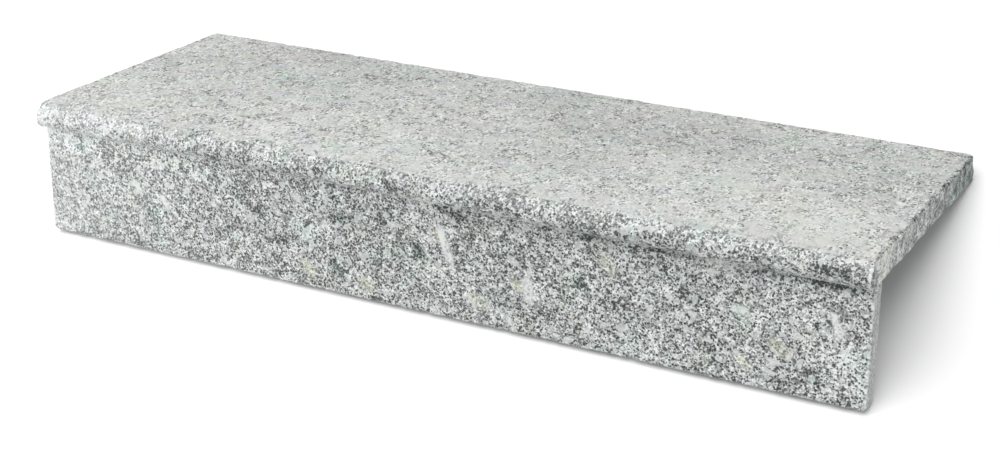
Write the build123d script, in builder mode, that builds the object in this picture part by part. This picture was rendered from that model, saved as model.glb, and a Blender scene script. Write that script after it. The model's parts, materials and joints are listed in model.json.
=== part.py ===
from build123d import *
import os
from math import asin, atan2, cos, hypot, sin

# A granite tread and riser for one stair step.
# The tread lies on the top edge of the riser, and its rounded nose stands a little in front of it.
# With no step core under it, the pair tips back until the tread's back edge meets the floor.

# Sizes in millimetres

# Both slabs are cut to the same length
step_length = 1000.0

# Tread slab
tread_depth = 350.0
tread_thickness = 30.0
nose_top_radius = 19.0
nose_flat = 1.0
tread_arris = 2.0

# Riser slab
riser_height = 130.0
riser_thickness = 20.0
riser_arris = 2.5

# How far the nose stands in front of the riser
nose_overhang = 15.0


# The section through both slabs is drawn square, as it stands in a stair:
# first number back from the nose, second number up from the riser's foot.
riser_back = nose_overhang + riser_thickness
tread_top = riser_height + tread_thickness

# The nose is round all the way: its lower rounding takes what the upper one and the short flat leave
nose_bottom_radius = tread_thickness - nose_top_radius - nose_flat

# Centres of the rounded corners that can touch the floor or reach furthest front or back
riser_heel = (riser_back - riser_arris, riser_arris)
riser_toe = (nose_overhang + riser_arris, riser_arris)
tread_heel = (tread_depth - tread_arris, riser_height + tread_arris)
tread_crown = (tread_depth - tread_arris, tread_top - tread_arris)
nose_brow = (nose_top_radius, tread_top - nose_top_radius)
nose_chin = (nose_bottom_radius, riser_height + nose_bottom_radius)

# The pair leans back until the rounded heels of both slabs stand on one floor
heel_run = tread_heel[0] - riser_heel[0]
heel_rise = tread_heel[1] - riser_heel[1]
lean = atan2(heel_rise, heel_run) - asin((tread_arris - riser_arris) / hypot(heel_run, heel_rise))


def leaned(point):
    """A point of the square section, turned back by the lean about the section's corner."""
    back, up = point
    return back * cos(lean) + up * sin(lean), up * cos(lean) - back * sin(lean)


# The origin is at the middle of the leaning pair, on the floor
front_reach = min(
    leaned(riser_toe)[0] - riser_arris,
    leaned(nose_chin)[0] - nose_bottom_radius,
    leaned(nose_brow)[0] - nose_top_radius,
)
back_reach = max(
    leaned(tread_crown)[0] + tread_arris,
    leaned(tread_heel)[0] + tread_arris,
)
floor_level = leaned(riser_heel)[1] - riser_arris

# The section plane stands across the left end of the slabs and looks along them
section = Plane(
    origin=(-step_length / 2, -(front_reach + back_reach) / 2, -floor_level),
    x_dir=(0, cos(lean), -sin(lean)),
    z_dir=(1, 0, 0),
)
# Directions of the slabs themselves, used to choose their edges
backward = Axis(section.origin, section.x_dir)
upward = Axis(section.origin, section.y_dir)

# Tread: a slab with a broad rounding over its front edge and a tighter one under it
with BuildPart() as tread:
    with BuildSketch(section) as tread_section:
        with BuildLine() as tread_outline:
            underside = Line((nose_bottom_radius, riser_height), (tread_depth, riser_height))
            back_face = Line(underside @ 1, (tread_depth, tread_top))
            top_face = Line(back_face @ 1, (nose_top_radius, tread_top))
            nose_over = RadiusArc(
                top_face @ 1, (0, tread_top - nose_top_radius), -nose_top_radius
            )
            nose_front = Line(nose_over @ 1, (0, riser_height + nose_bottom_radius))
            nose_under = RadiusArc(nose_front @ 1, underside @ 0, -nose_bottom_radius)
        make_face()
    extrude(amount=step_length)
    end_edges = tread.faces().filter_by(Axis.X).edges()
    back_edges = tread.edges().filter_by(Axis.X).sort_by(backward)[-2:]
    fillet(end_edges + back_edges, radius=tread_arris)
tread.part.label = "tread"

# Riser: a plain slab on edge, with a square top where the tread lies on it
with BuildPart() as riser:
    with BuildSketch(section) as riser_section:
        with Locations((nose_overhang, 0)):
            Rectangle(riser_thickness, riser_height, align=(Align.MIN, Align.MIN))
    extrude(amount=step_length)
    top_edges = riser.faces().sort_by(upward)[-1].edges()
    fillet(riser.edges() - top_edges, radius=riser_arris)
riser.part.label = "riser"

os.makedirs("parts", exist_ok=True)
export_step(tread.part, "parts/tread.step")
export_step(riser.part, "parts/riser.step")
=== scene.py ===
import json
from math import cos, pi, radians, sin

import bpy
import numpy as np
from mathutils import Matrix, Vector, noise


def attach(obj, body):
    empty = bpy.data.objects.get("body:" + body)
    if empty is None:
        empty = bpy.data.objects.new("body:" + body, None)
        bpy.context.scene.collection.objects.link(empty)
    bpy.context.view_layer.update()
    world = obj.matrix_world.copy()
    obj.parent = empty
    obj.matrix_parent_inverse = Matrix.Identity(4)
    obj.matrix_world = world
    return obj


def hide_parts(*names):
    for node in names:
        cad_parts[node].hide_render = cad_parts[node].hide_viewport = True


# A granite tread and riser, with the stone's finish on each face.
# Lengths are in metres. The slabs lean back, so each place is first given in the slabs' own directions:
# along the step, back from the nose, and up from the riser's foot.

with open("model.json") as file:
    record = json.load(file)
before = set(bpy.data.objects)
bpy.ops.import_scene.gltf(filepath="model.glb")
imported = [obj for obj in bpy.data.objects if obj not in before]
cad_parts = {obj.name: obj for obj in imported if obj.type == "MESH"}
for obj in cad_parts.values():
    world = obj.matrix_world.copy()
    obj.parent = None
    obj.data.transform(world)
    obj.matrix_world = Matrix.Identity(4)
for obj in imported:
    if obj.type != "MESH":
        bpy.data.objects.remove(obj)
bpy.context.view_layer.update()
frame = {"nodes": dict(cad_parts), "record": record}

MM = 0.001

# Directions and reach of the slabs, read from the frame
mounts = {mount["name"]: mount for mount in frame["record"]["mounts"]}
ALONG = Vector((1, 0, 0))
BACK = Vector(mounts["riser_back"]["axis"]).normalized()
UP = -Vector(mounts["riser_foot"]["axis"]).normalized()


def reach(node, direction):
    """Lowest and highest place of a CAD node along a direction."""
    places = [corner.co.dot(direction) for corner in frame["nodes"][node].data.vertices]
    return min(places), max(places)


nose_plane = reach("tread", BACK)[0]
foot_plane = reach("riser", UP)[0]


def in_row(along, back, up):
    """A place given in the slabs' directions, as a point of the row frame."""
    return ALONG * along + BACK * (back + nose_plane) + UP * (up + foot_plane)


def grey(brightness):
    """A grey of a given brightness."""
    return (brightness, brightness, brightness, 1)


# Camera, as fitted to the edges and corners of both slabs in the photo.
# Its aim is a place along, back and up, and its angles are measured from the slabs' own directions.

CAMERA_LENS = 67.89
CAMERA_AIM = (0.1016, 0.0150, 0.1186)
CAMERA_DISTANCE = 1.9362
CAMERA_AZIMUTH = radians(28.22)
CAMERA_ELEVATION = radians(21.27)
CAMERA_ROLL = radians(0.26)


def make_camera():
    """Looks at the front of the riser from the right and above."""
    level = -ALONG * sin(CAMERA_AZIMUTH) + BACK * cos(CAMERA_AZIMUTH)
    forward = level * cos(CAMERA_ELEVATION) - UP * sin(CAMERA_ELEVATION)
    level_right = forward.cross(UP).normalized()
    level_up = level_right.cross(forward)
    right = level_right * cos(CAMERA_ROLL) + level_up * sin(CAMERA_ROLL)
    above = right.cross(forward)
    place = in_row(*CAMERA_AIM) - forward * CAMERA_DISTANCE
    camera = bpy.data.objects.new("camera", bpy.data.cameras.new("camera"))
    camera.data.lens = CAMERA_LENS
    turn = Matrix((right, above, -forward)).transposed()
    camera.matrix_world = Matrix.Translation(place) @ turn.to_4x4()
    bpy.context.collection.objects.link(camera)
    bpy.context.scene.camera = camera


# Light and floor

FLOOR_HALF = 30.0
FLOOR_COLOUR = grey(0.86)
FLOOR_ROUGHNESS = 0.9
SKY_COLOUR = grey(1)
SKY_STRENGTH = 0.5
# The sun is broad, and this direction points towards it
SUN_DIRECTION = (-0.05, -0.20, 0.95)
SUN_STRENGTH = 2.45
SUN_WIDTH = radians(50)
# The lamp is square and stands near the left end; its place and aim are along, back and up
LAMP_PLACE = (-1.15, -0.75, 0.35)
LAMP_AIM = (-0.45, 0.0, 0.08)
LAMP_SIZE = 0.5
LAMP_POWER = 4.5


def make_floor():
    """An even pale floor without shine."""
    corners = [(x * FLOOR_HALF, y * FLOOR_HALF, 0) for x, y in ((-1, -1), (1, -1), (1, 1), (-1, 1))]
    mesh = bpy.data.meshes.new("floor")
    mesh.from_pydata(corners, [], [(0, 1, 2, 3)])
    material = bpy.data.materials.new("floor")
    material.use_nodes = True
    shader = material.node_tree.nodes["Principled BSDF"]
    shader.inputs["Base Color"].default_value = FLOOR_COLOUR
    shader.inputs["Roughness"].default_value = FLOOR_ROUGHNESS
    shader.inputs["Specular IOR Level"].default_value = 0
    mesh.materials.append(material)
    floor = bpy.data.objects.new("floor", mesh)
    bpy.context.collection.objects.link(floor)


def make_sky():
    """An even white sky."""
    world = bpy.data.worlds.new("sky")
    world.use_nodes = True
    background = world.node_tree.nodes["Background"]
    background.inputs["Color"].default_value = SKY_COLOUR
    background.inputs["Strength"].default_value = SKY_STRENGTH
    bpy.context.scene.world = world


def place_light(light, place, direction):
    """Puts a light at a place; direction points from what it lights towards the light."""
    holder = bpy.data.objects.new(light.name, light)
    holder.location = place
    holder.rotation_mode = "QUATERNION"
    holder.rotation_quaternion = direction.to_track_quat("Z", "Y")
    bpy.context.collection.objects.link(holder)
    return holder


def make_lights():
    """One broad light from above and a low lamp at the left."""
    sun = bpy.data.lights.new("overhead", "SUN")
    sun.energy = SUN_STRENGTH
    sun.angle = SUN_WIDTH
    place_light(sun, Vector(), Vector(SUN_DIRECTION))
    lamp = bpy.data.lights.new("side_lamp", "AREA")
    lamp.energy = LAMP_POWER
    lamp.size = LAMP_SIZE
    lamp_place = in_row(*LAMP_PLACE)
    lamp_holder = place_light(lamp, lamp_place, lamp_place - in_row(*LAMP_AIM))
    lamp_holder.visible_camera = False


def make_studio():
    """The floor, the sky and the lights, with colours shown as they are."""
    make_floor()
    make_sky()
    make_lights()
    bpy.context.scene.view_settings.view_transform = "Standard"


# Slab meshes

EIGHTH_TURN = pi / 4


def arc(centre, radius, start, end, steps):
    """Points and outward directions of an arc in the section, angles in eighths of a turn."""
    angles = np.linspace(start, end, steps + 1) * EIGHTH_TURN
    outward = np.stack([np.cos(angles), np.sin(angles)], 1)
    return np.array(centre) + radius * outward, outward


def section_side(first, last, steps):
    """One side of the section: half a corner, a straight stretch, half the next corner."""
    (points_a, outward_a), (points_b, outward_b) = first, last
    straight = steps - len(points_a) - len(points_b) + 2
    share = np.linspace(0, 1, straight + 1)[1:-1, None]
    middle = points_a[-1] * (1 - share) + points_b[0] * share
    facing = np.repeat(outward_a[-1:], len(middle), 0)
    points = np.concatenate([points_a, middle, points_b])
    outward = np.concatenate([outward_a, facing, outward_b])
    return points, outward


class Slab:
    """A sawn slab as a closed grid of points wrapped round a box with rounded edges.

    corners holds the radius of each long edge and the steps of each half of its rounding:
    front bottom, back bottom, back top, front top. places holds each point's place along, back and up,
    and outward the direction that it faces.
    """

    # Roundings that are drawn in keep at least this radius
    LEAST_RADIUS = 0.05 * MM
    # Rows of points a millimetre apart behind each end's arris, where the stone is chipped
    FINE_ROWS = 8

    def __init__(self, node, corners, end_arris, steps_along, steps_back, steps_up, end_rings):
        self.ends = reach(node, ALONG)
        self.front, self.rear = (place - nose_plane for place in reach(node, BACK))
        self.bottom, self.top = (place - foot_plane for place in reach(node, UP))
        self.corners = corners
        self.end_arris = end_arris
        self.steps_back, self.steps_up = steps_back, steps_up
        self.wrap(self.stations(steps_along, end_rings))

    def ring(self, inset):
        """The section's outline, drawn in by inset, as points (back, up) and outward directions."""
        # Each corner's place, its way into the stone, and the middle of its arc in eighths of a turn
        shapes = (
            ((self.front, self.bottom), (1, 1), 5),
            ((self.rear, self.bottom), (-1, 1), 7),
            ((self.rear, self.top), (-1, -1), 9),
            ((self.front, self.top), (1, -1), 11),
        )
        halves = []
        for (place, inward, middle), (radius, before, after) in zip(shapes, self.corners):
            centre_inset = max(radius, inset + self.LEAST_RADIUS)
            centre = np.array(place) + centre_inset * np.array(inward)
            rest = centre_inset - inset
            halves.append((
                arc(centre, rest, middle - 1, middle, before),
                arc(centre, rest, middle, middle + 1, after),
            ))
        sides = []
        for index, steps in enumerate(2 * (self.steps_back, self.steps_up)):
            following = halves[(index + 1) % 4]
            sides.append(section_side(halves[index][1], following[0], steps))
        points = np.concatenate([side[0][:-1] for side in sides])
        outward = np.concatenate([side[1][:-1] for side in sides])
        return points, outward

    def stations(self, steps_along, end_rings):
        """The rings from left to right: for each its place, its inset and how far it faces along."""
        low, high = self.ends
        turns = np.linspace(0, pi / 2, end_rings + 1)
        rounding = [(self.end_arris * (1 - sin(t)), self.end_arris * (1 - cos(t)), sin(t)) for t in turns]
        first, last = low + self.end_arris, high - self.end_arris
        behind = np.arange(1, self.FINE_ROWS + 1) * MM
        inner = np.linspace(first + behind[-1], last - behind[-1], steps_along + 1)
        inner = np.concatenate([first + behind[:-1], inner, last - behind[-2::-1]])
        left = [(low + short, inset, -facing) for short, inset, facing in rounding[::-1]]
        right = [(high - short, inset, facing) for short, inset, facing in rounding]
        return left + [(along, 0.0, 0.0) for along in inner] + right

    def wrap(self, stations):
        """Fills places, outward directions and faces of the whole slab."""
        places, outward = [], []
        for along, inset, facing in stations:
            points, directions = self.ring(inset)
            level = (1 - facing * facing) ** 0.5
            places.append(np.column_stack([np.full(len(points), along), points]))
            outward.append(np.column_stack([np.full(len(points), facing), directions * level]))
        around = len(places[0])
        faces = []
        for row in range(len(stations) - 1):
            for spot in range(around):
                following = (spot + 1) % around
                a, b = row * around, (row + 1) * around
                faces.append((a + spot, a + following, b + following, b + spot))
        count = len(stations) * around
        for end, facing in ((0, -1), (len(stations) - 1, 1)):
            lattice, filling = self.cap(end * around, places[end], count)
            places.append(filling)
            outward.append(np.tile([facing, 0, 0], (len(filling), 1)))
            count += len(filling)
            for i in range(self.steps_back):
                for j in range(self.steps_up):
                    face = (lattice[i][j], lattice[i + 1][j], lattice[i + 1][j + 1], lattice[i][j + 1])
                    faces.append(face if facing > 0 else face[::-1])
        self.places = np.concatenate(places)
        self.outward = np.concatenate(outward)
        self.faces = faces

    def cap(self, first, rim, count):
        """The grid that closes one end: its lattice of point numbers, and the points inside the rim.

        first is the number of the rim's first point, and count the number of points made before the cap.
        """
        n, m = self.steps_back, self.steps_up
        # The rim runs round the lattice: back along the bottom, up, forward along the top, and down
        spots = [[None] * (m + 1) for _ in range(n + 1)]
        for i in range(n + 1):
            spots[i][0] = i
            spots[n - i][m] = n + m + i
        for j in range(m + 1):
            spots[n][j] = n + j
            spots[0][m - j] = (2 * n + m + j) % (2 * n + 2 * m)
        lattice = [[None if spot is None else spot + first for spot in column] for column in spots]
        filling = []
        for i in range(1, n):
            for j in range(1, m):
                s, t = i / n, j / m
                across = rim[spots[0][j]] * (1 - s) + rim[spots[n][j]] * s
                upward = rim[spots[i][0]] * (1 - t) + rim[spots[i][m]] * t
                shear = (
                    (rim[spots[0][0]] * (1 - s) + rim[spots[n][0]] * s) * (1 - t)
                    + (rim[spots[0][m]] * (1 - s) + rim[spots[n][m]] * s) * t
                )
                lattice[i][j] = count + len(filling)
                filling.append(across + upward - shear)
        return lattice, np.array(filling)


def build(name, node, slab, offset, paint, material):
    """Makes the slab's mesh with its points moved outward by offset, and paints on it its finishes and
    tones and its painted light and shade.
    """
    places = slab.places + slab.outward * offset[:, None]
    points = [in_row(*place) for place in places]
    mesh = bpy.data.meshes.new(name)
    mesh.from_pydata(points, [], slab.faces)
    mesh.shade_smooth()
    for title, values in paint.layers.items():
        layer = mesh.attributes.new(title, "FLOAT", "POINT")
        layer.data.foreach_set("value", values.astype(np.float32))
    mesh.materials.append(material)
    piece = bpy.data.objects.new(name, mesh)
    bpy.context.collection.objects.link(piece)
    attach(piece, "root")
    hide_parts(node)


# Zones of a slab's surface

def rise(values, start, full):
    """A smooth step from 0 at start to 1 at full, which may be the lower of the two."""
    share = np.clip((values - start) / (full - start), 0, 1)
    return share * share * (3 - 2 * share)


def measures(slab):
    """Where the points of a slab lie at present and which way they face, by the names that zone takes."""
    along, back, up = slab.places.T.copy()
    facing_along, facing_back, facing_up = slab.outward.T
    from_left, from_right = along - slab.ends[0], slab.ends[1] - along
    return {
        "from_left": from_left,
        "from_right": from_right,
        "from_end": np.minimum(from_left, from_right),
        "back": back,
        "up": up,
        "below_top": slab.top - up,
        "facing_end": abs(facing_along),
        "facing_front": -facing_back,
        "facing_up": facing_up,
        "facing_down": -facing_up,
    }


def zone(at, **limits):
    """How far each point lies in a zone, from 0 to 1.

    Each limit names a measure, and gives its value where the zone starts and where it is full.
    """
    share = 1.0
    for title, (start, full) in limits.items():
        share = share * rise(at[title], start, full)
    return share


# A mark is full up to the first of these shares of its half width from its line, and ends at the second
STROKE_FULL, STROKE_END = 0.5, 1.5


def strokes(slab, marks, across):
    """How far each point lies within marks on a face; across is each point's place up or back over it."""
    spots = np.column_stack([slab.places[:, 0] - slab.ends[0], across]) / MM
    covered = np.zeros(len(spots))
    for start, end, half_width in marks:
        run = np.subtract(end, start)
        share = np.clip((spots - start) @ run / (run @ run), 0, 1)
        away = np.linalg.norm(spots - start - share[:, None] * run, axis=1)
        covered = np.maximum(covered, rise(away, STROKE_END * half_width, STROKE_FULL * half_width))
    return covered


# Relief and chips

# Each seed moves the noise on by these steps
SEED_STEPS = (7.31, 3.17, 5.73)
# Each layer of the noise is finer than the last by the gap, and weaker by that to the power of the fall
OCTAVE_GAP = 2.0
OCTAVE_FALL = 0.9

# Chips reach this far from the arris, and are full where the noise reaches this value
CHIP_REACH = 5 * MM
CHIP_FULL = 0.7
# Only points this near to an end are measured against its arris, and the others count as far away
END_REACH = 8 * MM
FAR_AWAY = 1.0
# A slanting move goes this share of its length in each of its two directions
SLANT = 0.5 ** 0.5


def relief(places, size, octaves, seed):
    """Smooth seeded noise between about -1 and 1 at each place, with features of a given size."""
    start = Vector([seed * step for step in SEED_STEPS])
    return np.array([
        noise.fractal(
            Vector(place) / size + start, OCTAVE_FALL, OCTAVE_GAP, octaves, noise_basis="PERLIN_ORIGINAL"
        )
        for place in places
    ])


def bites(slab, away, depth, size, seed):
    """How deep an arris is chipped at each point, from the point's distance to that arris."""
    broken = rise(relief(slab.places, size, octaves=2, seed=seed), 0, CHIP_FULL)
    return depth * broken * rise(away, CHIP_REACH, 0)


def chip_long_arris(slab, back, up, inward, depth, size, seed):
    """Chips one long arris, given by its place in the section and the way into the stone."""
    away = np.hypot(slab.places[:, 1] - back, slab.places[:, 2] - up)
    bite = bites(slab, away, depth, size, seed)
    slab.places[:, 1:] += bite[:, None] * np.array(inward) * SLANT


def chip_end_arris(slab, end, depth, size, seed):
    """Chips the arris round one end of a slab: 0 is the left end, 1 the right end."""
    way = 1 if end == 0 else -1
    from_end = way * (slab.places[:, 0] - slab.ends[end])
    near = np.nonzero(from_end < END_REACH)[0]
    rim, facing = slab.ring(0.0)
    gaps = np.linalg.norm(slab.places[near, None, 1:] - rim[None], axis=2)
    nearest = gaps.argmin(1)
    away = np.full(len(slab.places), FAR_AWAY)
    away[near] = np.hypot(gaps.min(1), from_end[near])
    bite = bites(slab, away, depth, size, seed)[near, None] * SLANT
    slab.places[near] += bite * np.column_stack([np.full(len(near), way), -facing[nearest]])


def round_corner(across, radius):
    """How far points move inwards to round a corner off, from their distances to its two sides."""
    held = np.clip(radius - across, 0, None)
    length = np.linalg.norm(held, axis=1)
    shorter = held.max(1) / np.where(length > 0, length, 1)
    return held * (1 - shorter[:, None]) * (held.min(1) > 0)[:, None]


# Granite

# Sizes of the crystals, and the spacing of the dark grains of mica
SMALL_CRYSTAL = 1.1 * MM
CRYSTAL = 1.9 * MM
LARGE_CRYSTAL = 4.2 * MM
FLAKE = 2.2 * MM
FELDSPAR = 6 * MM
MICA_SPACING = 3.0 * MM
# A grain fades in between these shares of the spacing, outside and inside its radius
MICA_RIM = (-0.05, 0.07)
# What is added to the radii, less of it where pale crystals crowd and more in clusters of mica
MICA_LARGER = 0.245
LARGER_IN_CROWD = -0.5
LARGER_IN_CLUSTER = 0.14

# Crystals have uneven outlines: their places are pushed about this far by noise of this size
PUSH = 0.7 * MM
PUSH_SIZE = 2 * MM
NOISE_MIDDLE = 0.5
# On the flamed face crystals are longer from front to back: their places are pressed together by this
FLAMED_STRETCH = (1.0, 0.58, 1.0)

# Clouds change the stone from place to place
CLOUD_ROUGHNESS = 0.55
CALM_CLOUDS = 18 * MM
TINT_CLOUDS = 30 * MM
# Pale crystals crowd together in clouds of two sizes, each with its share
CROWDS = ((10 * MM, 0.58), (45 * MM, 0.40))
# Broader tints show on the flamed face only, by this share
BROAD_TINT_CLOUDS = 110 * MM
BROAD_TINT = 0.45
# The flamed face ends in a ragged line: clouds are added to what is painted, by this share,
# and the sum says where the face starts and where it is full
RAGGED_CLOUDS = 4 * MM
RAGGED_PUSH = 0.8
FLAMED_FROM, FLAMED_FULL = 0.75, 1.05

# The two finishes. A crystal's tone comes from the crowds and from the random values of crystals of several
# sizes, each with its share. Their sum is spread from its usual range over the tones, given as pairs of
# value and brightness, and is changed by near_mica in clusters of mica.
HONED = {
    "crystals": ((CRYSTAL, 0.60), (SMALL_CRYSTAL, 0.18), (LARGE_CRYSTAL, 0.18)),
    "range": (0.50, 1.46),
    "tones": (
        (0.0, 0.07),
        (0.22, 0.14),
        (0.38, 0.27),
        (0.50, 0.40),
        (0.62, 0.51),
        (0.78, 0.63),
        (0.95, 0.80),
    ),
    "mica_radii": (0.17, 0.46),
    "mica_cover": 0.95,
    "mica_tone": grey(0.025),
    "near_mica": -0.10,
}
# The flame bursts the crystals' faces: the dark ones pale, the white ones dull
FLAMED = {
    "crystals": ((CRYSTAL, 0.50), (LARGE_CRYSTAL, 0.18)),
    "range": (0.415, 1.225),
    "tones": (
        (0.0, 0.16),
        (0.30, 0.34),
        (0.43, 0.52),
        (0.60, 0.67),
        (1.0, 0.90),
    ),
    "mica_radii": (0.08, 0.43),
    "mica_cover": 0.85,
    "mica_tone": grey(0.06),
    "near_mica": 0.0,
}

FLAKE_TONE = grey(0.02)
FELDSPAR_TONE = grey(0.55)
VEIL_TONE = grey(0.60)
BLACK_FLECK = grey(0.05)
# White of the flecks painted on as glints
PAINTED_GLINT = grey(1.0)
# Flecks thin out this fast where the flamed face is calm
FLECKS_IN_CALM = -1.3
# Brightness levels off at this value, over this width
WHITEST = 0.745
WHITEST_WIDTH = 0.14

# Tints that the stone is multiplied by: all over, and in faint patches
HONED_LEAN = (0.970, 1.0, 0.998, 1)
FLAMED_LEAN = (0.981, 1.0, 0.973, 1)
HONED_ROSY = (1.0, 0.963, 0.975, 1)
FLAMED_ROSY = (1.0, 0.94, 0.96, 1)
GREEN = (0.84, 1.0, 0.925, 1)
YELLOW = (0.965, 1.0, 0.865, 1)
HONED_BLUE = grey(1.0)
FLAMED_BLUE = (0.91, 0.88, 1.0, 1)
# How far the clouds stray from their middle where a patch starts and where it has its full tint
TINT_START, TINT_FULL = 0.03, 0.47
# Yellow and blue patches lie elsewhere than rosy and green ones
ELSEWHERE = (0.31, 0.17, 0.23)

STONE_ROUGHNESS = 0.6
GRIT_SIZE = 1.6 * MM
GRIT_HEIGHT = 0.4 * MM
GRIT_STRENGTH = 0.35


def add(tree, kind, inputs=None, **settings):
    """Adds a shader node, with its inputs set to values or linked to sockets."""
    made = tree.nodes.new(kind)
    for title, value in settings.items():
        setattr(made, title, value)
    for title, value in (inputs or {}).items():
        if isinstance(value, bpy.types.NodeSocket):
            tree.links.new(value, made.inputs[title])
        else:
            made.inputs[title].default_value = value
    return made


def calculate(tree, operation, *values):
    """One step of arithmetic on sockets and numbers."""
    return add(tree, "ShaderNodeMath", dict(enumerate(values)), operation=operation).outputs[0]


def mixed(tree, base, *parts):
    """A base with parts added to it, each given as a socket and its share."""
    for value, share in parts:
        base = calculate(tree, "MULTIPLY_ADD", value, share, base)
    return base


def shifted(tree, operation, places, change):
    """One step of arithmetic on places."""
    return add(tree, "ShaderNodeVectorMath", {0: places, 1: change}, operation=operation).outputs[0]


def remap(tree, value, first, last, to_first=0.0, to_last=1.0):
    """Turns the range first to last into another range, and holds it there."""
    inputs = {"Value": value, "From Min": first, "From Max": last, "To Min": to_first, "To Max": to_last}
    return add(tree, "ShaderNodeMapRange", inputs).outputs["Result"]


def by_finish(tree, flamed, on_honed, on_flamed):
    """A number that differs between the honed and the flamed stone."""
    return remap(tree, flamed, 0.0, 1.0, on_honed, on_flamed)


def blend(tree, factor, first, second, mode="MIX"):
    """Blends two colours."""
    made = add(tree, "ShaderNodeMix", {0: factor, 6: first, 7: second}, data_type="RGBA", blend_type=mode)
    return made.outputs[2]


def clouds(tree, places, size, detail=2.0):
    """Smooth noise about one half, with features of a given size."""
    inputs = {"Vector": places, "Scale": 1 / size, "Detail": detail, "Roughness": CLOUD_ROUGHNESS}
    return add(tree, "ShaderNodeTexNoise", inputs, noise_dimensions="3D").outputs["Fac"]


def centred_clouds(tree, places, size):
    """Smooth noise about zero, with features of a given size."""
    return calculate(tree, "SUBTRACT", clouds(tree, places, size), NOISE_MIDDLE)


def cells(tree, places, size):
    """Cells of about a given size: three random values for each, and the distance from its middle."""
    inputs = {"Vector": places, "Scale": 1 / size, "Randomness": 1.0}
    made = add(tree, "ShaderNodeTexVoronoi", inputs, voronoi_dimensions="3D", feature="F1")
    own = add(tree, "ShaderNodeSeparateColor", {0: made.outputs["Color"]})
    return own.outputs, made.outputs["Distance"]


def crystals(tree, places, size):
    """A random value for each crystal of about a given size."""
    return cells(tree, places, size)[0][0]


def grains(tree, places, radii, larger):
    """How far each place lies inside round grains of mica.

    radii are those of the least and largest grains, as shares of their spacing, and larger is added.
    """
    own, distance = cells(tree, places, MICA_SPACING)
    least, most = radii
    radius = calculate(tree, "MULTIPLY_ADD", own[1], most - least, least)
    radius = calculate(tree, "ADD", radius, larger)
    return remap(tree, calculate(tree, "SUBTRACT", radius, distance), *MICA_RIM)


def painted(tree, title):
    """A value painted on the mesh."""
    return add(tree, "ShaderNodeAttribute", attribute_name=title).outputs["Fac"]


def tone_curve(tree, value, tones):
    """A grey for each value, from (value, brightness) pairs."""
    made = add(tree, "ShaderNodeValToRGB", {0: value})
    elements = made.color_ramp.elements
    while len(elements) < len(tones):
        elements.new(0.5)
    for element, (position, brightness) in zip(elements, tones):
        element.position = position
        element.color = grey(brightness)
    return made.outputs["Color"]


def uneven_places(tree, places):
    """Places pushed about by fine noise."""
    inputs = {"Vector": places, "Scale": 1 / PUSH_SIZE, "Detail": 1.0}
    push = add(tree, "ShaderNodeTexNoise", inputs).outputs["Color"]
    push = shifted(tree, "SUBTRACT", push, (NOISE_MIDDLE, NOISE_MIDDLE, NOISE_MIDDLE))
    push = shifted(tree, "MULTIPLY", push, (PUSH, PUSH, PUSH))
    return shifted(tree, "ADD", places, push)


def crystal_face(tree, places, finish, crowd, larger, mica):
    """Crystals of one finish, paler or darker, with dark grains of mica between them."""
    sizes = [(crystals(tree, places, size), share) for size, share in finish["crystals"]]
    value = remap(tree, mixed(tree, crowd, *sizes), *finish["range"])
    tones = tone_curve(tree, mixed(tree, value, (mica, finish["near_mica"])), finish["tones"])
    grain = grains(tree, places, finish["mica_radii"], larger)
    cover = calculate(tree, "MULTIPLY", grain, finish["mica_cover"])
    return blend(tree, cover, tones, finish["mica_tone"])


def with_minerals(tree, stone, uneven, flamed):
    """Adds single black flakes, which the flame mostly burns away, and a few large pale feldspars."""
    flake = remap(tree, crystals(tree, uneven, FLAKE), first=0.90, last=0.92, to_last=0.88)
    flake = calculate(tree, "MULTIPLY", flake, by_finish(tree, flamed, on_honed=1.0, on_flamed=0.35))
    stone = blend(tree, flake, stone, FLAKE_TONE)
    feldspar = remap(tree, crystals(tree, uneven, FELDSPAR), first=0.90, last=0.94, to_last=0.65)
    return blend(tree, feldspar, stone, FELDSPAR_TONE)


def with_veil(tree, stone, ragged, calm, flamed):
    """Lays an even veil where the stone is worn, sawn or pale, and where the flamed face is calm."""
    patchy = remap(tree, ragged, first=0.35, last=0.65, to_first=0.5, to_last=1.5)
    veil = calculate(tree, "MULTIPLY", painted(tree, "veil"), patchy)
    veil = calculate(tree, "MULTIPLY_ADD", flamed, calm, veil)
    return blend(tree, veil, stone, VEIL_TONE)


def with_flecks(tree, stone, longer, calm, flamed):
    """Strews crisp black flecks, and white flecks as painted glints, over the flamed face, fewer where it
    is calm.
    """
    fleck = crystals(tree, longer, CRYSTAL)
    crisp = calculate(tree, "MULTIPLY", mixed(tree, 1.0, (calm, FLECKS_IN_CALM)), flamed)
    black = remap(tree, fleck, first=0.07, last=0.05, to_last=0.75)
    # White flecks painted on as glints
    painted_glint = remap(tree, fleck, first=0.94, last=0.96, to_last=0.75)
    for cover, tone in ((black, BLACK_FLECK), (painted_glint, PAINTED_GLINT)):
        stone = blend(tree, calculate(tree, "MULTIPLY", cover, crisp), stone, tone)
    return stone


def with_shade(tree, stone):
    """Brightens or darkens the stone as painted, in its own tone and in painted light and shade, with no
    crystal whiter than clear feldspar.
    """
    brightness = add(tree, "ShaderNodeSeparateColor", {0: stone}).outputs[0]
    brightness = calculate(tree, "MULTIPLY", brightness, painted(tree, "shade"))
    brightness = calculate(tree, "SMOOTH_MIN", brightness, WHITEST, WHITEST_WIDTH)
    inputs = {channel: brightness for channel in range(3)}
    return add(tree, "ShaderNodeCombineColor", inputs).outputs[0]


def tinted(tree, stone, lean, above, below):
    """Gives the stone one tint where lean is above zero, and another where it is below."""
    for sign, tint in ((1, above), (-1, below)):
        amount = remap(tree, lean, sign * TINT_START, sign * TINT_FULL)
        stone = blend(tree, amount, stone, tint, "MULTIPLY")
    return stone


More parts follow.
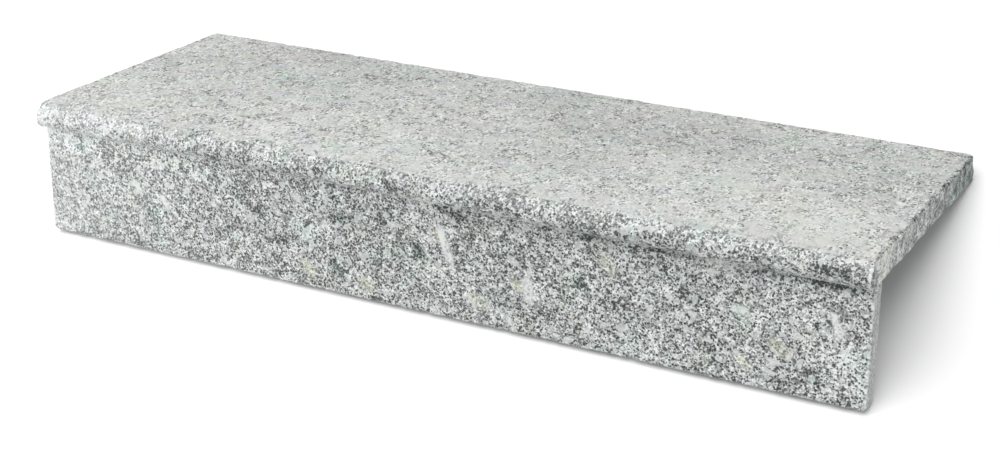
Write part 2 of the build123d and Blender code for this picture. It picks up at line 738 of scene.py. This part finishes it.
def with_tints(tree, stone, places, flamed):
    """Leans the whole stone to green, and patches of it to rosy or green and to yellow or blue."""
    stone = blend(tree, 1.0, stone, blend(tree, flamed, HONED_LEAN, FLAMED_LEAN), "MULTIPLY")
    warmth = painted(tree, "warmth")
    broad = centred_clouds(tree, places, BROAD_TINT_CLOUDS)
    broad = calculate(tree, "MULTIPLY", broad, calculate(tree, "MULTIPLY", flamed, BROAD_TINT))
    warm = calculate(tree, "ADD", centred_clouds(tree, places, TINT_CLOUDS), broad)
    warm = calculate(tree, "ADD", warm, warmth)
    stone = tinted(tree, stone, warm, blend(tree, flamed, HONED_ROSY, FLAMED_ROSY), GREEN)
    elsewhere = shifted(tree, "ADD", places, ELSEWHERE)
    marked = calculate(tree, "MULTIPLY", warmth, by_finish(tree, flamed, on_honed=1.0, on_flamed=0.4))
    yellow = calculate(tree, "ADD", centred_clouds(tree, elsewhere, TINT_CLOUDS), marked)
    return tinted(tree, stone, yellow, YELLOW, blend(tree, flamed, HONED_BLUE, FLAMED_BLUE))


def granite(name):
    """Light grey granite of white feldspar, grey quartz and black mica.

    The mesh says where the stone is flamed, where an even veil lies over its crystals, as the saw or wear
    leaves it, how bright it is, in its own tone and in painted light and shade, where it leans to beige or
    to green, and where its mica crowds together.
    """
    material = bpy.data.materials.new(name)
    material.use_nodes = True
    tree = material.node_tree
    places = add(tree, "ShaderNodeTexCoord").outputs["Object"]
    uneven = uneven_places(tree, places)
    longer = shifted(tree, "MULTIPLY", uneven, FLAMED_STRETCH)

    ragged = clouds(tree, places, RAGGED_CLOUDS, detail=3.0)
    flamed = mixed(tree, painted(tree, "flamed"), (ragged, RAGGED_PUSH))
    flamed = remap(tree, flamed, FLAMED_FROM, FLAMED_FULL)
    calm = remap(tree, clouds(tree, places, CALM_CLOUDS, detail=3.0), first=0.42, last=0.60, to_last=0.66)

    mica = painted(tree, "mica")
    crowd = mixed(tree, 0.0, *[(clouds(tree, places, size), share) for size, share in CROWDS])
    larger = mixed(tree, MICA_LARGER, (crowd, LARGER_IN_CROWD), (mica, LARGER_IN_CLUSTER))
    honed_face = crystal_face(tree, uneven, HONED, crowd, larger, mica)
    flamed_face = crystal_face(tree, longer, FLAMED, crowd, larger, mica)

    stone = blend(tree, flamed, honed_face, flamed_face)
    stone = with_minerals(tree, stone, uneven, flamed)
    stone = with_veil(tree, stone, ragged, calm, flamed)
    stone = with_flecks(tree, stone, longer, calm, flamed)
    stone = with_shade(tree, stone)
    stone = with_tints(tree, stone, places, flamed)

    shader = tree.nodes["Principled BSDF"]
    tree.links.new(stone, shader.inputs["Base Color"])
    shader.inputs["Roughness"].default_value = STONE_ROUGHNESS
    grit = clouds(tree, places, GRIT_SIZE, detail=3.0)
    grit_inputs = {"Strength": GRIT_STRENGTH, "Distance": GRIT_HEIGHT, "Height": grit}
    bump = add(tree, "ShaderNodeBump", grit_inputs)
    tree.links.new(bump.outputs[0], shader.inputs["Normal"])
    return material


class Paint:
    """What a slab's mesh tells the granite at each point.

    flamed is its finish, veil how even it looks and shade how bright it is, in its own tone and in painted
    light and shade. warmth leans to beige, or to green where it is below zero, and mica makes the dark
    grains larger.
    """

    def __init__(self, flamed):
        self.layers = {"flamed": flamed, "shade": np.ones(len(flamed))}
        for title in ("veil", "warmth", "mica"):
            self.layers[title] = np.zeros(len(flamed))

    def change(self, share, **amounts):
        """Adds an amount to each layer named, as far as each point lies in a zone."""
        for title, amount in amounts.items():
            self.layers[title] += amount * share


# Marks in the stone, as strokes with a start, an end and a half width, all in mm.
# On the nose and the riser they are measured along from the left end and up from the riser's foot,
# and on the top along from the left end and back from the nose.

NOSE_WORN_HIGHLIGHT_SPOTS = (
    ((998, 134), (998, 151), 2.5),
)
NOSE_DARK_SPOTS = (
    ((86, 142), (90, 141), 3),
    ((121, 141), (124, 139), 3),
    ((160, 140), (166, 138), 3),
    ((246, 135), (254, 133), 4),
    ((385, 146), (391, 145), 4),
    ((470, 147), (474, 145), 4),
    ((631, 140), (633, 137), 3),
    ((716, 135), (719, 134), 3),
    ((740, 139), (752, 139), 3),
    ((766, 145), (770, 143), 4),
    ((884, 143), (904, 142), 4),
    ((893, 132), (900, 131), 4),
    ((945, 145), (974, 144), 5),
)
TOP_ROSY_PATCHES = (
    ((20, 310), (150, 310), 45),
    ((370, 180), (470, 180), 40),
    ((20, 80), (150, 80), 50),
    ((840, 100), (980, 60), 55),
    ((600, 310), (720, 310), 35),
)
TOP_GREEN_PATCHES = (
    ((200, 250), (240, 180), 40),
    ((280, 310), (330, 310), 35),
    ((510, 310), (570, 310), 35),
)
TOP_DIM_PATCHES = (
    ((540, 300), (740, 250), 60),
    ((190, 320), (300, 300), 40),
    ((560, 110), (640, 120), 40),
)
TOP_BRIGHT_PATCHES = (
    ((860, 90), (960, 90), 40),
    ((240, 40), (320, 40), 25),
    ((20, 330), (40, 300), 40),
    ((750, 150), (840, 150), 45),
    ((320, 230), (520, 225), 35),
)
TOP_CALM_PATCHES = (
    ((745, 150), (835, 150), 45),
    ((890, 70), (985, 70), 45),
    ((330, 230), (400, 230), 40),
)
RISER_VEINS = (
    ((531, 99), (541, 68), 5),
    ((634, 61), (635, 44), 6),
    ((961, 93), (968, 76), 4),
    ((861, 80), (872, 79), 4),
    ((609, 18), (616, 10), 3),
    ((127, 80), (134, 72), 4),
    ((165, 69), (172, 60), 4),
)
RISER_DARK_SPOTS = (
    ((532, 126), (554, 117), 6),
    ((396, 86), (413, 89), 6),
    ((453, 96), (461, 94), 4),
    ((296, 78), (303, 74), 5),
    ((806, 84), (821, 79), 6),
    ((945, 22), (951, 17), 5),
    ((690, 76), (698, 70), 5),
    ((502, 72), (507, 66), 6),
    ((396, 33), (404, 25), 6),
    ((322, 50), (333, 49), 4),
    ((940, 126), (985, 127), 5),
    ((48, 111), (52, 110), 4),
    ((84, 110), (90, 108), 3),
    ((390, 125), (397, 125), 4),
    ((397, 111), (401, 109), 3),
    ((437, 121), (439, 118), 3),
    ((464, 109), (470, 107), 4),
    ((654, 127), (657, 125), 3),
    ((695, 124), (705, 124), 4),
    ((747, 121), (753, 119), 4),
    ((771, 125), (778, 124), 4),
    ((784, 104), (787, 101), 3),
    ((811, 105), (825, 104), 3),
)
RISER_BEIGE_SPOTS = (
    ((570, 30), (582, 24), 7),
    ((722, 102), (730, 92), 7),
    ((905, 54), (914, 44), 7),
    ((870, 28), (875, 22), 6),
    ((431, 22), (440, 18), 7),
    ((360, 26), (366, 18), 6),
    ((618, 59), (624, 54), 5),
    ((524, 96), (530, 88), 5),
)
RISER_DIM_PATCHES = (
    ((350, 112), (420, 108), 22),
)
RISER_BRIGHT_PATCHES = (
    ((655, 70), (715, 62), 20),
    ((955, 35), (995, 30), 25),
    ((260, 25), (325, 25), 22),
    ((770, 20), (830, 20), 20),
)


# Tread

NOSE_TOP_RADIUS = 19 * MM
NOSE_BOTTOM_RADIUS = 10 * MM
TREAD_ARRIS = 2 * MM

# Relief of the flamed top and of the rough ends
FLAMED_RELIEF = 0.35 * MM
END_RELIEF = 0.9 * MM
# Depth of the right end's chips, and how much deeper they are along its top
RIGHT_CHIPS = 1.6 * MM
RIGHT_TOP_CHIPS = 2.6 * MM
# Along the right end the flamed skin has broken off in teeth of up to this length
TEETH_LENGTH = 9 * MM
# A beige band crosses the ends behind the nose, and wavers about its middle by this much
BEIGE_MIDDLE = 38 * MM
BEIGE_WAVER = 14 * MM
# The arris above the band is brown about this place
BROWN_MIDDLE = 30 * MM


def wear_tread(slab, at):
    """Knocks off the right back corner, chips the right end along its top, and the rest only slightly."""
    across = np.column_stack([at["from_right"], slab.rear - at["back"]])
    high_up = zone(at, below_top=(20 * MM, 5 * MM))
    slab.places[:, :2] += round_corner(across, radius=9 * MM) * (-1, -1) * high_up[:, None]
    right_depth = RIGHT_CHIPS + RIGHT_TOP_CHIPS * zone(at, below_top=(15 * MM, 0))
    chip_end_arris(slab, end=1, depth=right_depth, size=9 * MM, seed=4)
    chip_end_arris(slab, end=0, depth=1.0 * MM, size=11 * MM, seed=5)
    chip_long_arris(slab, slab.rear, slab.top, (-1, -1), depth=1.0 * MM, size=13 * MM, seed=6)
    chip_long_arris(slab, slab.rear, slab.bottom, (-1, 1), depth=0.8 * MM, size=13 * MM, seed=7)


def paint_top(paint, slab, at, flamed, spalled):
    """The flamed top, with its patches."""
    # Darker towards the back and where its skin is broken off, and painted shade where it turns over the
    # nose towards the light
    paint.change(flamed, shade=-0.034)
    paint.change(flamed * zone(at, back=(40 * MM, 240 * MM)), shade=-0.13)
    paint.change(flamed * zone(at, facing_front=(0.05, 0.3)), shade=-0.14)
    paint.change(spalled, shade=-0.14)
    # Rubbed even behind the nose, most from the middle to the right
    behind_nose = flamed * zone(at, back=(60 * MM, 22 * MM))
    paint.change(behind_nose, veil=0.03)
    paint.change(behind_nose * zone(at, from_left=(250 * MM, 400 * MM)), veil=0.12)
    paint.change(flamed * strokes(slab, TOP_CALM_PATCHES, at["back"]), veil=0.15)
    paint.change(flamed * strokes(slab, TOP_BRIGHT_PATCHES, at["back"]), shade=0.05)
    paint.change(flamed * strokes(slab, TOP_DIM_PATCHES, at["back"]), shade=-0.06)
    paint.change(flamed * strokes(slab, TOP_ROSY_PATCHES, at["back"]), warmth=0.10)
    paint.change(flamed * strokes(slab, TOP_GREEN_PATCHES, at["back"]), warmth=-0.10)


def paint_nose(paint, slab, at, front, end):
    """The rubbed nose, with painted light and shade, its dark spots, and its worn right end with a painted
    highlight.
    """
    nose = front * (1 - end)
    # Painted light on its upper half to the right, and painted shade on its lower half but for a stretch in
    # the middle
    high = nose * zone(at, facing_up=(0.0, 0.6))
    paint.change(high, veil=0.13)
    paint.change(high * zone(at, from_left=(400 * MM, 700 * MM)), shade=0.14)
    low = nose * zone(at, facing_down=(-0.5, 0.5))
    paint.change(low * zone(at, from_left=(100 * MM, 350 * MM)), shade=-0.12)
    middle = zone(at, from_left=(420 * MM, 500 * MM)) * zone(at, from_left=(700 * MM, 620 * MM))
    paint.change(low * middle, shade=0.08)
    # Painted light on its underside
    paint.change(nose * zone(at, facing_down=(0.7, 0.85)), shade=0.15)
    # Its left part is more even and has less mica
    paint.change(nose * zone(at, from_left=(300 * MM, 100 * MM)), veil=0.15, shade=-0.04, mica=-0.4)
    # A painted highlight along the upper half of its left part
    paint.change(nose * zone(at, from_left=(350 * MM, 100 * MM), facing_up=(0.0, 0.5)), shade=0.08)
    # Its very left end is paler and more even
    paint.change(front * zone(at, from_left=(30 * MM, 8 * MM)), veil=0.25, shade=0.12)
    # The arris at its right end is worn white, with a painted highlight on it
    worn_highlight = strokes(slab, NOSE_WORN_HIGHLIGHT_SPOTS, at["up"]) * zone(at, facing_front=(0.0, 0.4)) * (1 - end)
    paint.change(worn_highlight, veil=0.6, shade=0.3, warmth=-0.25)
    dark = nose * strokes(slab, NOSE_DARK_SPOTS, at["up"])
    paint.change(dark, warmth=-0.15, mica=1.2)
    # The veil is thin over the dark spots
    paint.layers["veil"] *= 1 - 0.8 * dark


def paint_ends(paint, slab, at, end):
    """The rough ends: blotched, dark at the nose, beige behind it, and greener towards the back."""
    blotches = relief(slab.places, size=10 * MM, octaves=2, seed=3)
    from_beige = abs(at["back"] - BEIGE_MIDDLE + BEIGE_WAVER * blotches)
    beige = end * rise(from_beige, 28 * MM, 14 * MM)
    paint.change(end * (1 - beige), veil=0.14)
    paint.change(end, shade=0.26)
    paint.change(end * at["back"] / slab.rear, shade=-0.63)
    paint.change(end * blotches, shade=0.8)
    paint.change(end * zone(at, back=(100 * MM, 300 * MM)), warmth=-0.10)
    paint.change(end * zone(at, back=(220 * MM, 270 * MM)), shade=-0.05, warmth=-0.30)
    paint.change(end * zone(at, back=(14 * MM, 5 * MM)), shade=-0.45, warmth=-0.25)
    paint.change(beige, veil=0.3, shade=0.18, warmth=0.30)
    paint.change(beige * rise(at["up"], slab.bottom, slab.top), shade=0.24)
    upper_arris = zone(at, facing_end=(0.1, 0.4), facing_up=(0.1, 0.5))
    brown = upper_arris * rise(abs(at["back"] - BROWN_MIDDLE), 26 * MM, 12 * MM)
    paint.change(brown, shade=-0.25, warmth=0.30)


def make_tread(material):
    """The tread: flamed on top, rubbed along its nose, and rough at its ends."""
    corners = (
        (NOSE_BOTTOM_RADIUS, 4, 4),
        (TREAD_ARRIS, 2, 2),
        (TREAD_ARRIS, 2, 2),
        (NOSE_TOP_RADIUS, 6, 7),
    )
    slab = Slab("tread", corners, TREAD_ARRIS, steps_along=350, steps_back=110, steps_up=12, end_rings=3)
    at = measures(slab)
    wear_tread(slab, at)

    teeth = np.clip(relief(slab.places, size=9 * MM, octaves=2, seed=12), 0, 1)
    spalled = rise(at["from_right"] - TEETH_LENGTH * teeth, 2.5 * MM, 1 * MM)
    spalled = spalled * zone(at, facing_up=(0.1, 0.5))
    flamed = zone(at, facing_up=(0.80, 0.97)) * (1 - spalled)
    end = zone(at, facing_end=(0.6, 0.9))
    front = (1 - flamed) * (at["back"] < NOSE_TOP_RADIUS)
    paint = Paint(flamed)
    paint.change(zone(at, facing_down=(0.6, 0.9)), veil=0.3)
    paint_top(paint, slab, at, flamed, spalled)
    paint_ends(paint, slab, at, end)
    paint_nose(paint, slab, at, front, end)

    offset = FLAMED_RELIEF * relief(slab.places, size=9 * MM, octaves=2, seed=1) * flamed
    offset += END_RELIEF * relief(slab.places, size=11 * MM, octaves=3, seed=2) * end
    build("tread_slab", "tread", slab, offset, paint, material)


# Riser

RISER_ARRIS = 2.5 * MM
RISER_TOP_ARRIS = 0.3 * MM

# The front is paler towards both ends, which fades over these lengths
LEFT_PALE_LENGTH = 120 * MM
RIGHT_PALE_LENGTH = 100 * MM


def wear_riser(slab):
    """Knocks the lower corners round, and chips the arrises a little."""
    for end, way in enumerate((1, -1)):
        from_end = way * (slab.places[:, 0] - slab.ends[end])
        across = np.column_stack([from_end, slab.places[:, 2] - slab.bottom])
        slab.places[:, [0, 2]] += round_corner(across, radius=5.5 * MM) * (way, 1)
        chip_end_arris(slab, end, depth=1.2 * MM, size=12 * MM, seed=8 + end)
    chip_long_arris(slab, slab.front, slab.bottom, (1, 1), depth=1.6 * MM, size=9 * MM, seed=10)
    chip_long_arris(slab, slab.rear, slab.bottom, (-1, 1), depth=0.8 * MM, size=12 * MM, seed=11)


def paint_shading_under_nose(paint, at, front):
    """Painted light and shade on the stone under the nose: painted light at the left, and a painted shadow
    line that is higher at the right.
    """
    left = zone(at, from_left=(550 * MM, 420 * MM))
    middle = zone(at, from_left=(400 * MM, 550 * MM)) * zone(at, from_left=(700 * MM, 620 * MM))
    right = zone(at, from_left=(620 * MM, 700 * MM))
    joint = front * zone(at, below_top=(11 * MM, 7 * MM))
    shadow_line = front * zone(at, below_top=(22 * MM, 14 * MM)) * zone(at, below_top=(7 * MM, 11 * MM))
    # Painted light just below the nose, turned to painted shade at the right; a painted shadow line lower
    # down in the middle; painted light at the left
    paint.change(joint, shade=0.14)
    paint.change(joint * right, shade=-0.22)
    paint.change(shadow_line * middle, shade=-0.12)
    paint.change(front * zone(at, below_top=(40 * MM, 14 * MM)) * left, shade=0.25)


def make_riser(material):
    """The riser: honed in front, and plainly sawn elsewhere."""
    corners = (
        (RISER_ARRIS, 2, 2),
        (RISER_ARRIS, 2, 2),
        (RISER_TOP_ARRIS, 1, 1),
        (RISER_TOP_ARRIS, 1, 1),
    )
    slab = Slab("riser", corners, RISER_ARRIS, steps_along=480, steps_back=10, steps_up=64, end_rings=3)
    wear_riser(slab)
    at = measures(slab)

    front = zone(at, facing_front=(0.5, 0.9))
    paint = Paint(flamed=np.zeros(len(slab.places)))
    paint.change(1 - front, veil=0.45, shade=-0.12)
    paint.change(front * np.exp(-at["from_left"] / LEFT_PALE_LENGTH), veil=0.22, shade=0.03, mica=-0.3)
    paint.change(front * np.exp(-at["from_right"] / RIGHT_PALE_LENGTH), shade=0.12)
    # The front's arrises at both ends are paler: bruised, and with a painted highlight
    paint.change(front * zone(at, from_end=(4 * MM, 1.5 * MM)), veil=0.4, shade=0.1)
    paint_shading_under_nose(paint, at, front)
    paint.change(front * strokes(slab, RISER_VEINS, at["up"]), veil=0.75, shade=0.02)
    paint.change(front * strokes(slab, RISER_DARK_SPOTS, at["up"]), shade=-0.05, warmth=-0.30, mica=1.4)
    paint.change(front * strokes(slab, RISER_BEIGE_SPOTS, at["up"]), veil=0.25, shade=0.08, warmth=0.45)
    paint.change(front * strokes(slab, RISER_BRIGHT_PATCHES, at["up"]), shade=0.10)
    paint.change(front * strokes(slab, RISER_DIM_PATCHES, at["up"]), shade=-0.15)

    offset = np.zeros(len(slab.places))
    build("riser_slab", "riser", slab, offset, paint, material)


make_camera()
make_studio()
make_tread(granite("tread_granite"))
make_riser(granite("riser_granite"))
